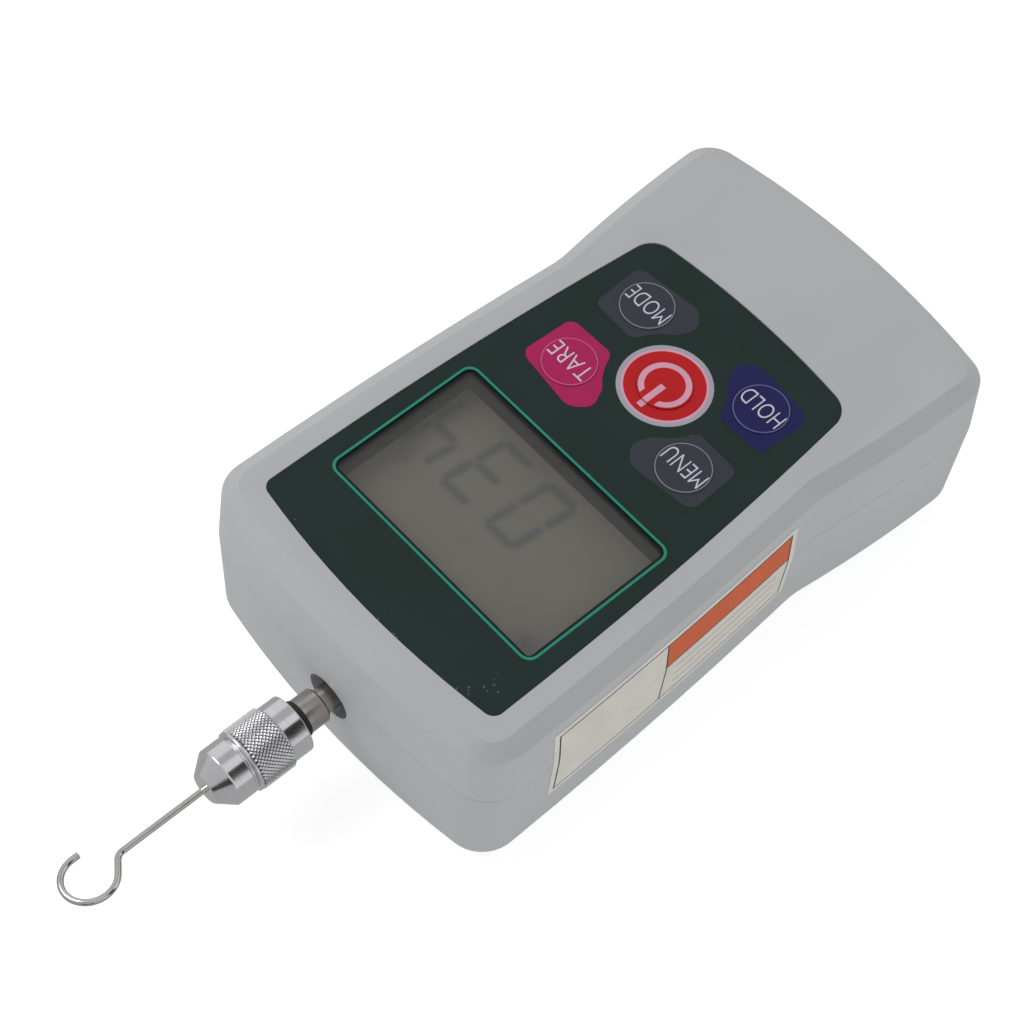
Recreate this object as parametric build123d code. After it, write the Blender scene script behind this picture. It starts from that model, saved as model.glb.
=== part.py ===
from build123d import *
import os
from functools import cache
from math import asin, atan, cos, degrees, radians, sin, sqrt, tan

# A handheld digital force gauge that lies on its back.  +Z leaves the display face, +Y runs along the
# measuring axis towards the hook, and the origin is the centre of the four stand bosses on the back face.
# Every size is in millimetres.

# Case plan: convex ends, sides that taper to a waist and flare out again behind it
case_thickness = 38.5
front_y = 64.0
rear_y = -65.6
front_end_radius = 195.0
rear_end_radius = 170.0
front_half_width = 37.4
front_mid_half_width, front_mid_y = 36.4, 14.0
waist_half_width, waist_y = 34.4, -19.8
rear_mid_half_width, rear_mid_y = 36.45, -38.0
rear_half_width = 37.4
front_corner_radius = 8.2
rear_corner_radius = 7.3
waist_round = 20.0

# Case shells
parting_z = 23.7
wall = 2.2
top_wall = 2.5
floor_thickness = 2.5
bevel_inset = 3.0
bevel_depth = 2.5
upper_draft = 4.0
lower_draft = 1.5
bottom_round = 3.5
parting_relief = 0.12
lip_height = 1.5
lip_clearance = 0.1

# Front overlay film, in a recess of the face
overlay_thickness = 0.4
overlay_sink = 0.2
overlay_gap = 0.12
overlay_front_y = 55.95
overlay_rear_y = -37.05
overlay_front_radius = 188.0
overlay_rear_radius = 170.0
overlay_front_half, overlay_mid_half, overlay_mid_y, overlay_rear_half = 29.6, 28.45, 8.0, 25.05
overlay_front_corner = 2.2
overlay_rear_corner = 5.0

# Display
display_y = 25.8
view_half_x, view_half_y = 24.6, 15.5
window_half_x, window_half_y = 25.5, 16.4
film_opening_half_x, film_opening_half_y = 25.15, 16.05
window_corner = 1.9
window_thickness = 0.8
lcd_depth = 5.9
lcd_half_x, lcd_half_y = 25.8, 16.8
lcd_thickness = 2.2
backlight_thickness = 2.4
bezel_flange = 1.4
pocket_corner = 0.6
glass_corner = 0.4
glass_ledge_inset = 0.4
fit_gap = 0.15
cut_overrun = 1.0

# Keys
key_radius = 5.0
key_gap = 0.15
key_proud = 0.25
key_edge_round = 0.2
key_skirt = 0.9
key_stem_radius = 1.6
key_rest_gap = 0.35
key_spread_x = 14.6
key_row_half = 9.6
power_key_y = -13.85

# Circuit board
board_thickness = 1.6
board_half_width = 29.2
board_corner = 1.0
board_front_y, board_rear_y = 45.5, -46.5
tongue_front_half, tongue_front_y = 23.3, 50.4
tongue_rear_half, tongue_rear_y = 21.5, -59.6
board_screw_front = (20.0, 47.6)
board_screw_rear = (17.5, -55.0)
board_screw_radius = 1.1
board_screw_bite = 5.0
board_boss_radius = 2.6
board_boss_roof = 1.0
board_head_radius = 2.1
screw_head_height = 1.4
switch_side = 6.0
switch_corner = 0.5
switch_height, switch_body_height = 3.6, 2.7
switch_button_radius = 1.7
buzzer_radius, buzzer_height = 4.5, 3.2
buzzer_port_radius, buzzer_port_depth = 1.0, 1.5
buzzer_at = (20.0, -38.0)
chip_height = 1.2
controller_at, controller_side = (-8.0, -32.0), 12.0
converter_at, converter_length, converter_width = (14.0, -18.0), 8.0, 6.0
memory_at, memory_side = (-20.0, 8.0), 5.0
plug_height, plug_width = 3.0, 4.5
sensor_plug_at, sensor_plug_length = (16.0, 34.0), 9.0
battery_plug_at, battery_plug_length = (-9.0, -50.0), 7.0

# Charging socket in the rear end
socket_half_x, socket_height, socket_length = 3.9, 4.0, 9.0
socket_setback = 1.2
socket_shell = 0.35
socket_back = 2.0
socket_corner = 1.0
socket_tongue_half_x, socket_tongue_thickness, socket_tongue_setback = 2.6, 1.0, 2.0
socket_window_margin = 0.7

# Case screws, and the stand bosses in the back
case_screw_front = (28.2, 51.6)
case_screw_rear = (28.4, -53.0)
case_screw_radius = 1.5
case_screw_bite = 8.0
case_boss_radius = 3.6
case_boss_roof = 2.0
case_head_radius = 2.9
case_head_height = 2.0
case_head_depth = 3.2
head_round_share = 0.35
recess_reach_share, recess_depth_share = 0.55, 0.55
recess_half_width = 0.35
stand_spacing_x, stand_spacing_y = 40.0, 50.0
stand_hole_radius = 1.65
stand_boss_radius = 4.0

# Chassis plate
chassis_thickness = 2.5
chassis_half_x = 24.5
chassis_front_y, chassis_rear_y = 52.0, -33.0
chassis_corner = 4.0
chassis_screw_front = (20.0, 42.0)
chassis_screw_rear = (9.0, -28.5)
chassis_screw_radius = 1.5
chassis_screw_setback = 0.3
countersink_radius = 2.9
countersink_recess_reach, countersink_recess_half_width, countersink_recess_depth = 1.5, 0.3, 0.9

# Load cell and its lug
axis_z = 16.2
cell_front_y, cell_length = 51.0, 27.0
cell_height, cell_width = 15.0, 18.0
cell_slot = 1.6
cell_block = 7.5
cell_web = 3.2
cell_hole_radius = 3.4
cell_edge_round = 0.6
thread_runout = 0.6
cell_thread_depth = 6.0
lug_thickness = 5.0
lug_half_x, lug_top_z = 13.0, 23.5
rib_thickness, rib_length, rib_drop = 2.5, 12.0, 3.0
cell_screw_head_radius, cell_screw_head_height = 5.0, 5.0
hex_socket_radius, hex_socket_depth = 2.9, 3.0
thread_radius = 3.0

# Rod, ring and adapter, by their distance in front of the case
rod_hole_radius = 4.8
rod_neck_radius = 2.5
rod_flange_radius, rod_flange_thickness = 4.1, 1.2
rod_flange_depth = 2.6
collar_radius = 3.4
collar_start, collar_length = 1.95, 4.1
collar_chamfer = 0.3
stud_radius = 2.85
stud_length = 8.1
stud_chamfer = 0.6
thread_gap = 0.15
ring_radius, ring_thickness = 3.6, 1.5
ring_chamfer = 0.15
joint_gap = 0.05
adapter_rear_radius, adapter_rear_length = 5.6, 3.95
barrel_radius, barrel_length = 6.15, 7.8
barrel_chamfer = 0.35
groove_radius, groove_width = 5.2, 0.5
nose_radius, nose_length = 5.6, 3.8
cone_length, nose_tip_radius = 3.3, 2.9
adapter_rear_chamfer = 0.2
adapter_bore_depth = 8.5
drill_point_depth = 1.2

# Wire hook
wire_radius = 0.6
hook_shank = 18.2
hook_ring_radius = 4.8
hook_ring_ahead, hook_ring_aside = 6.1, 0.24
hook_bend_radius = 2.0
hook_tip_length = 1.3
hook_seat_depth = 5.5
hook_turn = 11.0

# Battery pack
cell_radius_aa = 7.0
battery_count = 3
battery_length = 48.0
battery_front_y = -9.0
battery_skin = 0.4

# Leads
sensor_lead_radius = 1.1
battery_lead_radius = 0.7
battery_lead_pitch = 3.0
lead_reach = 2.0

# Heights that follow from the sizes above
face_z = case_thickness
overlay_top = face_z - overlay_sink
overlay_bottom = overlay_top - overlay_thickness
window_bottom = overlay_bottom - window_thickness
ceiling_z = face_z - top_wall
lcd_top = face_z - lcd_depth
lcd_bottom = lcd_top - lcd_thickness
board_top = lcd_bottom - backlight_thickness
board_bottom = board_top - board_thickness
chassis_top = floor_thickness + chassis_thickness
flange_half_x = lcd_half_x + bezel_flange
flange_half_y = lcd_half_y + bezel_flange

# Stations along the measuring axis
collar_rear_y = front_y + collar_start
collar_front_y = collar_rear_y + collar_length
ring_rear_y = collar_front_y + joint_gap
ring_front_y = ring_rear_y + ring_thickness
adapter_rear_y = ring_front_y + joint_gap
barrel_rear_y = adapter_rear_y + adapter_rear_length
barrel_front_y = barrel_rear_y + barrel_length
nose_start_y = barrel_front_y + groove_width
cone_start_y = nose_start_y + nose_length
nose_tip_y = cone_start_y + cone_length
hook_bend_y = nose_tip_y + hook_shank
hook_centre_y = hook_bend_y + hook_ring_ahead
cell_rear_y = cell_front_y - cell_length


def box_between(low, high):
    """A box from its lowest to its highest corner."""
    size = [b - a for a, b in zip(low, high)]
    return Pos(*low) * Box(*size, align=Align.MIN)


def post(x, y, radius, low_z, high_z):
    """An upright cylinder between two heights."""
    return Pos(x, y, low_z) * Cylinder(radius, high_z - low_z, align=(Align.CENTER, Align.CENTER, Align.MIN))


def bar(x, z, radius, low_y, high_y):
    """A cylinder along +Y between two stations."""
    lying = Rot(-90, 0, 0) * Cylinder(radius, high_y - low_y, align=(Align.CENTER, Align.CENTER, Align.MIN))
    return Pos(x, low_y, z) * lying


def mirrored(*points):
    """Each point and its mirror image across the measuring axis."""
    return [(sign * x, y) for x, y in points for sign in (1, -1)]


def outline(inset, front, rear, front_radius, rear_radius, sides, front_round, rear_round, waist_fillet=0.0):
    """A mirrored plan between two convex end arcs, moved inwards by inset.  sides holds the half width at
    the front end, then pairs (half width, y) along the side, then the half width at the rear end."""
    def corner(half, tip, radius, sign):
        return half, tip - sign * (radius - sqrt(radius * radius - half * half))

    front_tip, rear_tip = front - inset, rear + inset
    front_corner = corner(sides[0] - inset, front_tip, front_radius - inset, 1)
    rear_corner = corner(sides[-1] - inset, rear_tip, rear_radius - inset, -1)
    stops = [front_corner] + [(half - inset, y) for half, y in sides[1:-1]] + [rear_corner]
    edges = [ThreePointArc(*stops[i:i + 3]) for i in range(0, len(stops) - 2, 2)]
    edges += [edge.mirror(Plane.YZ) for edge in edges]
    edges += [ThreePointArc((-x, y), (0, tip), (x, y))
              for (x, y), tip in ((front_corner, front_tip), (rear_corner, rear_tip))]
    plan = make_face(edges)

    def round_at(shape, y, radius):
        return fillet(shape.vertices().filter_by(lambda v: abs(v.Y - y) < 0.001), radius)

    plan = round_at(plan, front_corner[1], front_round - inset)
    plan = round_at(plan, rear_corner[1], rear_round - inset)
    if waist_fillet:
        plan = round_at(plan, sides[2][1], waist_fillet + inset)
    return plan


@cache
def case_plan(inset=0.0):
    """The plan of the case at the parting plane, moved inwards by inset."""
    sides = (front_half_width, (front_mid_half_width, front_mid_y), (waist_half_width, waist_y),
             (rear_mid_half_width, rear_mid_y), rear_half_width)
    return outline(inset, front_y, rear_y, front_end_radius, rear_end_radius, sides,
                   front_corner_radius, rear_corner_radius, waist_round)


@cache
def overlay_plan(inset=0.0):
    sides = (overlay_front_half, (overlay_mid_half, overlay_mid_y), overlay_rear_half)
    return outline(inset, overlay_front_y, overlay_rear_y, overlay_front_radius, overlay_rear_radius, sides,
                   overlay_front_corner, overlay_rear_corner)


def display_plan(half_x, half_y, corner):
    return Pos(0, display_y) * RectangleRounded(2 * half_x, 2 * half_y, corner)


def slab(plan, low_z, high_z):
    return extrude(Pos(0, 0, low_z) * plan, high_z - low_z)


def stacked(*levels):
    """The case plan drawn through levels of (height, inset), with flat sloping walls between them."""
    return loft([Pos(0, 0, z) * case_plan(inset) for z, inset in levels], ruled=True)


def drafted(inset, start_z, end_z, angle):
    """The case plan, moved inwards by inset at start_z, drawn up or down to end_z with draft."""
    return stacked((start_z, inset), (end_z, inset + abs(end_z - start_z) * tan(radians(angle))))


key_places = {
    "power_key": (0.0, power_key_y),
    "tare_key": (key_spread_x, power_key_y + key_row_half),
    "mode_key": (key_spread_x, power_key_y - key_row_half),
    "hold_key": (-key_spread_x, power_key_y - key_row_half),
    "menu_key": (-key_spread_x, power_key_y + key_row_half),
}
case_screw_places = mirrored(case_screw_front, case_screw_rear)
board_screw_places = mirrored(board_screw_front, board_screw_rear)
stand_places = mirrored((stand_spacing_x / 2, stand_spacing_y / 2),
                        (stand_spacing_x / 2, -stand_spacing_y / 2))
chassis_screw_places = mirrored(chassis_screw_front, chassis_screw_rear)


def upper_case():
    """Upper shell: flat face with a bevel band, overlay recess, display opening and key holes."""
    bevel_z = face_z - bevel_depth
    draft_at_bevel = (bevel_z - parting_z) * tan(radians(upper_draft))
    shell = stacked((parting_z, parting_relief), (parting_z + parting_relief, 0), (bevel_z, draft_at_bevel),
                    (face_z, draft_at_bevel + bevel_inset))
    shell -= drafted(wall, parting_z, ceiling_z, upper_draft)
    shell -= slab(case_plan(wall / 2 - lip_clearance), parting_z, parting_z + lip_height + lip_clearance)
    shell -= slab(overlay_plan(), overlay_bottom, face_z)
    shell -= slab(display_plan(window_half_x + fit_gap, window_half_y + fit_gap, window_corner),
                  ceiling_z, face_z)
    for x, y in key_places.values():
        shell -= post(x, y, key_radius + key_gap, ceiling_z, face_z)
    for x, y in board_screw_places:
        shell += post(x, y, board_boss_radius, board_top, ceiling_z)
        shell -= post(x, y, board_screw_radius, board_top, ceiling_z - board_boss_roof)
    for x, y in case_screw_places:
        shell += post(x, y, case_boss_radius, parting_z, ceiling_z)
        shell -= post(x, y, case_screw_radius, parting_z, ceiling_z - case_boss_roof)
    window_half = socket_half_x + socket_window_margin
    shell -= box_between((-window_half, rear_y - cut_overrun, board_top - socket_window_margin),
                         (window_half, rear_y + 2 * wall, board_top + socket_height + socket_window_margin))
    return shell


def lower_case():
    """Lower shell: drafted walls, rounded back edge, rod hole, screw posts and chassis seats."""
    shell = extrude(Pos(0, 0, parting_z) * case_plan(), parting_z, dir=(0, 0, -1), taper=lower_draft)
    back = shell.faces().sort_by(Axis.Z)[0]
    shell = fillet(back.edges(), bottom_round)
    rim = shell.faces().sort_by(Axis.Z)[-1]
    shell = chamfer(rim.edges(), parting_relief)
    shell -= drafted(wall, parting_z, floor_thickness, lower_draft)
    shell += slab(case_plan(wall / 2), parting_z, parting_z + lip_height) - \
        slab(case_plan(wall), parting_z, parting_z + lip_height)
    shell -= bar(0, axis_z, rod_hole_radius, front_y - 4 * wall, front_y + cut_overrun)
    for x, y in case_screw_places:
        shell += post(x, y, case_boss_radius, floor_thickness, parting_z)
        shell -= post(x, y, case_screw_radius + fit_gap, 0, parting_z)
        shell -= post(x, y, case_head_radius + fit_gap, 0, case_head_depth)
    for x, y in stand_places:
        shell -= post(x, y, stand_boss_radius + fit_gap, 0, floor_thickness)
    for x, y in chassis_screw_places:
        shell -= post(x, y, chassis_screw_radius + fit_gap, 0, floor_thickness)
        shell -= Pos(x, y, 0) * Cone(countersink_radius + fit_gap, chassis_screw_radius + fit_gap,
                                     countersink_radius - chassis_screw_radius,
                                     align=(Align.CENTER, Align.CENTER, Align.MIN))
    return shell


def front_overlay():
    """Printed film with the display opening and a clearance ring round each key."""
    film = slab(overlay_plan(overlay_gap), overlay_bottom, overlay_top)
    film -= slab(display_plan(film_opening_half_x, film_opening_half_y, window_corner),
                 overlay_bottom, overlay_top)
    for x, y in key_places.values():
        film -= post(x, y, key_radius + key_gap, overlay_bottom, overlay_top)
    return film


def display_window():
    return slab(display_plan(window_half_x, window_half_y, window_corner), window_bottom, overlay_bottom)


def display_bezel():
    """Dark frame from the board up to the window, with a stepped pocket for the glass and backlight."""
    frame = slab(display_plan(window_half_x, window_half_y, window_corner), lcd_top, window_bottom)
    frame += slab(display_plan(flange_half_x, flange_half_y, window_corner), board_top, ceiling_z)
    frame -= slab(display_plan(view_half_x, view_half_y, pocket_corner), lcd_top, window_bottom)
    frame -= slab(display_plan(lcd_half_x, lcd_half_y, pocket_corner), board_top, lcd_top)
    return frame


def lcd_glass():
    """Display glass, with the narrower upper sheet that leaves a contact ledge along one long edge."""
    half_x, half_y = lcd_half_x - fit_gap, lcd_half_y - fit_gap
    glass = slab(display_plan(half_x, half_y, glass_corner), lcd_bottom, lcd_top)
    ledge = box_between((-half_x, display_y - half_y, lcd_bottom + lcd_thickness / 2),
                        (half_x, display_y - view_half_y - glass_ledge_inset, lcd_top))
    return glass - ledge


def lcd_backlight():
    plan = display_plan(lcd_half_x - fit_gap, lcd_half_y - fit_gap, glass_corner)
    return slab(plan, board_top, lcd_bottom)


def key(place):
    """A round key: a low crowned cap, a skirt through the face wall and a stem over its switch."""
    x, y = place
    top = overlay_top + key_proud
    cap = post(x, y, key_radius, overlay_bottom - key_skirt, top)
    cap = fillet(cap.edges().sort_by(Axis.Z)[-1], key_edge_round)
    stem_end = board_top + switch_height + key_rest_gap
    return cap + post(x, y, key_stem_radius, stem_end, overlay_bottom - key_skirt)


def main_board():
    """Circuit board: a wide middle with narrower tongues that pass between the case screw posts."""
    board = box_between((-board_half_width, board_rear_y, board_bottom),
                        (board_half_width, board_front_y, board_top))
    board += box_between((-tongue_front_half, board_front_y, board_bottom),
                         (tongue_front_half, tongue_front_y, board_top))
    board += box_between((-tongue_rear_half, tongue_rear_y, board_bottom),
                         (tongue_rear_half, board_rear_y, board_top))
    board = fillet(board.edges().filter_by(Axis.Z), board_corner)
    for x, y in board_screw_places:
        board -= post(x, y, board_screw_radius + fit_gap, board_bottom, board_top)
    return board


def board_chips():
    """Controller, converter, memory and connectors on the underside of the board."""
    places = [(controller_at, (controller_side, controller_side), chip_height),
              (converter_at, (converter_length, converter_width), chip_height),
              (memory_at, (memory_side, memory_side), chip_height),
              (sensor_plug_at, (sensor_plug_length, plug_width), plug_height),
              (battery_plug_at, (battery_plug_length, plug_width), plug_height)]
    return [box_between((x - a / 2, y - b / 2, board_bottom - h), (x + a / 2, y + b / 2, board_bottom))
            for (x, y), (a, b), h in places]


def key_switches():
    """One tactile switch under each key: a square body with a round button."""
    switches = []
    body_top = board_top + switch_body_height
    for x, y in key_places.values():
        half = switch_side / 2
        body = box_between((x - half, y - half, board_top), (x + half, y + half, body_top))
        body = fillet(body.edges().filter_by(Axis.Z), switch_corner)
        switches.append(body + post(x, y, switch_button_radius, body_top, board_top + switch_height))
    return switches


def buzzer():
    x, y = buzzer_at
    low_z = board_bottom - buzzer_height
    can = post(x, y, buzzer_radius, low_z, board_bottom)
    return can - post(x, y, buzzer_port_radius, low_z, low_z + buzzer_port_depth)


def charge_socket():
    """Small data socket: a pressed shell, open to the rear, with its contact tongue."""
    mouth_y = rear_y + socket_setback
    plan = Rectangle(2 * socket_half_x, socket_height)
    shell = extrude(Plane.XZ * plan, socket_length)
    shell = chamfer(shell.edges().filter_by(Axis.Y).group_by(Axis.Z)[0], socket_corner)
    mouth = Rectangle(2 * (socket_half_x - socket_shell), socket_height - 2 * socket_shell)
    cavity = extrude(Plane.XZ * mouth, socket_length - socket_back)
    cavity = chamfer(cavity.edges().filter_by(Axis.Y).group_by(Axis.Z)[0], socket_corner - socket_shell / 2)
    half_x, half_z = socket_tongue_half_x, socket_tongue_thickness / 2
    tongue = box_between((-half_x, -socket_length, -half_z), (half_x, -socket_tongue_setback, half_z))
    return Pos(0, mouth_y, board_top + socket_height / 2) * Rot(0, 0, 180) * (shell - cavity + tongue)


def chassis_plate():
    """Metal plate with four stand bosses that reach the back face and a ribbed lug behind the load cell."""
    middle_y = (chassis_front_y + chassis_rear_y) / 2
    plan = Pos(0, middle_y) * RectangleRounded(2 * chassis_half_x, chassis_front_y - chassis_rear_y,
                                               chassis_corner)
    plate = slab(plan, floor_thickness, chassis_top)
    for x, y in stand_places:
        plate += post(x, y, stand_boss_radius, 0, floor_thickness)
        plate -= post(x, y, stand_hole_radius, 0, chassis_top)
    lug_front = cell_rear_y
    lug_rear = lug_front - lug_thickness
    plate += box_between((-lug_half_x, lug_rear, chassis_top), (lug_half_x, lug_front, lug_top_z))
    for x in (-lug_half_x, lug_half_x - rib_thickness):
        rib = Polyline((lug_rear, chassis_top), (lug_rear - rib_length, chassis_top),
                       (lug_rear, lug_top_z - rib_drop), close=True)
        plate += Pos(x, 0, 0) * extrude(Plane.YZ * make_face(rib), rib_thickness)
    plate -= bar(0, axis_z, thread_radius + thread_gap, lug_rear, lug_front)
    for x, y in chassis_screw_places:
        plate -= post(x, y, chassis_screw_radius, floor_thickness, chassis_top)
    return plate


def load_cell():
    """S-shaped cell: two end blocks joined through a middle block by slots cut from opposite faces."""
    half_z = cell_height / 2
    low_z, high_z = axis_z - half_z, axis_z + half_z
    cell = box_between((-cell_width / 2, cell_rear_y, low_z), (cell_width / 2, cell_front_y, high_z))
    cell = fillet(cell.edges().filter_by(Axis.X), cell_edge_round)
    front_slot = cell_front_y - cell_block
    rear_slot = cell_rear_y + cell_block
    cell -= box_between((-cell_width, front_slot - cell_slot, low_z - cut_overrun),
                        (cell_width, front_slot, high_z - cell_web))
    cell -= box_between((-cell_width, rear_slot, low_z + cell_web),
                        (cell_width, rear_slot + cell_slot, high_z + cut_overrun))
    middle_y = (cell_front_y + cell_rear_y) / 2
    cell -= Pos(0, middle_y, axis_z) * Rot(0, 90, 0) * Cylinder(cell_hole_radius, 2 * cell_width)
    hole_end = cell_front_y - cell_thread_depth - thread_runout
    cell -= bar(0, axis_z, stud_radius + thread_gap, hole_end, cell_front_y)
    cell -= bar(0, axis_z, thread_radius, cell_rear_y, cell_rear_y + cell_thread_depth)
    return cell


def load_cell_screw():
    """M6 socket-head screw through the lug into the rear of the load cell."""
    head_front = cell_rear_y - lug_thickness
    screw = bar(0, axis_z, cell_screw_head_radius, head_front - cell_screw_head_height, head_front)
    screw += bar(0, axis_z, thread_radius, head_front, cell_rear_y + cell_thread_depth)
    hexagon = extrude(Plane.XZ * RegularPolygon(hex_socket_radius, 6), -hex_socket_depth)
    return screw - Pos(0, head_front - cell_screw_head_height, axis_z) * hexagon


def turned(profile):
    """A solid turned about the measuring axis from (radius, station) points."""
    face = make_face(Polyline(*profile, close=True))
    return Pos(0, 0, axis_z) * revolve(face, Axis.Y)


def sensor_rod():
    """Rod from the load cell to the stud: spigot, flange inside the case hole, neck, collar and stud."""
    flange_front = front_y - rod_flange_depth
    flange_rear = flange_front - rod_flange_thickness
    stud_end = collar_front_y + stud_length
    return turned([(0, cell_front_y - cell_thread_depth), (stud_radius, cell_front_y - cell_thread_depth),
                   (stud_radius, flange_rear), (rod_flange_radius, flange_rear),
                   (rod_flange_radius, flange_front), (rod_neck_radius, flange_front),
                   (rod_neck_radius, collar_rear_y), (collar_radius - collar_chamfer, collar_rear_y),
                   (collar_radius, collar_rear_y + collar_chamfer), (collar_radius, collar_front_y),
                   (stud_radius, collar_front_y), (stud_radius, stud_end - stud_chamfer),
                   (stud_radius - stud_chamfer, stud_end), (0, stud_end)])


def rod_ring():
    inner = stud_radius + thread_gap
    edge = ring_radius - ring_chamfer
    return turned([(inner, ring_rear_y), (edge, ring_rear_y), (ring_radius, ring_rear_y + ring_chamfer),
                   (ring_radius, ring_front_y - ring_chamfer), (edge, ring_front_y), (inner, ring_front_y)])


def hook_adapter():
    """Turned adapter: plain rear, barrel that takes the knurl, groove, plain nose and cone."""
    bore = stud_radius + thread_gap
    bore_end = adapter_rear_y + adapter_bore_depth
    edge = barrel_chamfer
    rear_edge = adapter_rear_chamfer
    return turned([(bore, adapter_rear_y), (adapter_rear_radius - rear_edge, adapter_rear_y),
                   (adapter_rear_radius, adapter_rear_y + rear_edge), (adapter_rear_radius, barrel_rear_y),
                   (barrel_radius - edge, barrel_rear_y), (barrel_radius, barrel_rear_y + edge),
                   (barrel_radius, barrel_front_y - edge), (barrel_radius - edge, barrel_front_y),
                   (groove_radius, barrel_front_y), (groove_radius, nose_start_y),
                   (nose_radius, nose_start_y), (nose_radius, cone_start_y),
                   (nose_tip_radius, nose_tip_y), (wire_radius, nose_tip_y),
                   (wire_radius, nose_tip_y - hook_seat_depth), (0, nose_tip_y - hook_seat_depth),
                   (0, bore_end + drill_point_depth), (bore, bore_end)])


def wire_hook():
    """Bent wire: straight shank on the axis, an offset bend, three quarters of a ring and a short tip."""
    centre = (-hook_ring_aside, hook_centre_y)
    centre_distance = sqrt(hook_ring_ahead ** 2 + hook_ring_aside ** 2)
    swing = asin(hook_ring_radius / centre_distance) + atan(hook_ring_aside / hook_ring_ahead)
    reach = sqrt(centre_distance ** 2 - hook_ring_radius ** 2)
    bend_at = (0.0, hook_bend_y)
    touch = (-reach * sin(swing), hook_bend_y + reach * cos(swing))
    start_angle = 180 + degrees(swing)
    tip_x = hook_ring_radius - hook_ring_aside
    tip_start, tip_end = (tip_x, hook_centre_y), (tip_x, hook_centre_y - hook_tip_length)
    shank = FilletPolyline((0.0, nose_tip_y - hook_seat_depth), bend_at, touch, radius=hook_bend_radius)
    ring = CenterArc(centre, hook_ring_radius, start_angle, -start_angle)
    path = Wire(shank.edges() + ring.edges() + Line(tip_start, tip_end).edges())
    section = Plane(origin=path @ 0, z_dir=path % 0) * Circle(wire_radius)
    hook = sweep(section, path=path)
    return Pos(0, 0, axis_z) * Rot(0, hook_turn, 0) * hook


def battery_pack():
    """Three round cells side by side in one shrink sleeve, on the chassis behind the load cell."""
    radius = cell_radius_aa + battery_skin
    pitch = 2 * cell_radius_aa
    half = pitch * (battery_count - 1) / 2
    plan = SlotCenterToCenter(2 * half, 2 * radius)
    pack = extrude(Plane.XZ * plan, battery_length)
    pack = Pos(0, battery_front_y, chassis_top + radius) * pack
    return pack


def lead(points, radius, bend):
    """A round lead along straight runs joined by arcs."""
    route = FilletPolyline(*points, radius=bend)
    section = Plane(origin=route @ 0, z_dir=route % 0) * Circle(radius)
    return sweep(section, path=route)


def sensor_lead():
    """Lead from the side of the load cell out to the side and up into its plug on the board."""
    x, y = sensor_plug_at
    start = cell_width / 2
    low_z = axis_z - cell_height / 4
    return lead([(start, y, low_z), (x, y, low_z), (x, y, board_bottom - plug_height)],
                sensor_lead_radius, 2 * sensor_lead_radius)


def battery_leads():
    """Two leads from the rear of the pack, up behind it and forward into their plug."""
    x, y = battery_plug_at
    pack_rear = battery_front_y - battery_length
    low_z = chassis_top + cell_radius_aa
    high_z = board_bottom - plug_height / 2
    return [lead([(side, pack_rear, low_z), (side, pack_rear - lead_reach, low_z),
                  (side, pack_rear - lead_reach, high_z), (side, y - plug_width / 2, high_z)],
                 battery_lead_radius, lead_reach / 2)
            for side in (x - battery_lead_pitch / 2, x + battery_lead_pitch / 2)]


def pan_screw(x, y, head_radius, head_height, shank_radius, head_z, length, down):
    """A cross-recess screw.  down is 1 when the head is above its shank and -1 when it is below."""
    def span(a, b):
        return min(a, b), max(a, b)

    screw = post(x, y, head_radius, *span(head_z, head_z + down * head_height))
    screw = fillet(screw.edges().filter_by(GeomType.CIRCLE).sort_by(Axis.Z)[-1 if down > 0 else 0],
                   head_height * head_round_share)
    screw += post(x, y, shank_radius, *span(head_z, head_z - down * length))
    top = head_z + down * head_height
    reach = head_radius * recess_reach_share
    low, high = span(top, top - down * head_height * recess_depth_share)
    for a, b in ((reach, recess_half_width), (recess_half_width, reach)):
        screw -= box_between((x - a, y - b, low), (x + a, y + b, high))
    return screw


def case_screws():
    length = parting_z + case_screw_bite - case_head_depth
    return [pan_screw(x, y, case_head_radius, case_head_height, case_screw_radius,
                      case_head_depth, length, -1) for x, y in case_screw_places]


def board_screws():
    length = board_thickness + board_screw_bite
    return [pan_screw(x, y, board_head_radius, screw_head_height, board_screw_radius,
                      board_bottom, length, -1) for x, y in board_screw_places]


def chassis_screws():
    """Countersunk screws from the back face into the chassis plate."""
    screws = []
    head = countersink_radius - chassis_screw_radius
    reach, half = countersink_recess_reach, countersink_recess_half_width
    for x, y in chassis_screw_places:
        screw = Pos(x, y, 0) * Cone(countersink_radius, chassis_screw_radius, head,
                                    align=(Align.CENTER, Align.CENTER, Align.MIN))
        screw += post(x, y, chassis_screw_radius, head, chassis_top - chassis_screw_setback)
        for a, b in ((reach, half), (half, reach)):
            screw -= box_between((x - a, y - b, 0), (x + a, y + b, countersink_recess_depth))
        screws.append(screw)
    return screws


pieces = {
    "upper_case": upper_case(),
    "lower_case": lower_case(),
    "front_overlay": front_overlay(),
    "display_window": display_window(),
    "display_bezel": display_bezel(),
    "lcd_glass": lcd_glass(),
    "lcd_backlight": lcd_backlight(),
    "main_board": main_board(),
    "board_chips": board_chips(),
    "key_switches": key_switches(),
    "buzzer": buzzer(),
    "charge_socket": charge_socket(),
    "chassis_plate": chassis_plate(),
    "load_cell": load_cell(),
    "load_cell_screw": load_cell_screw(),
    "sensor_rod": sensor_rod(),
    "rod_ring": rod_ring(),
    "hook_adapter": hook_adapter(),
    "wire_hook": wire_hook(),
    "battery_pack": battery_pack(),
    "sensor_lead": sensor_lead(),
    "battery_leads": battery_leads(),
    "case_screws": case_screws(),
    "board_screws": board_screws(),
    "chassis_screws": chassis_screws(),
}
pieces.update({name: key(place) for name, place in key_places.items()})

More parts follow.
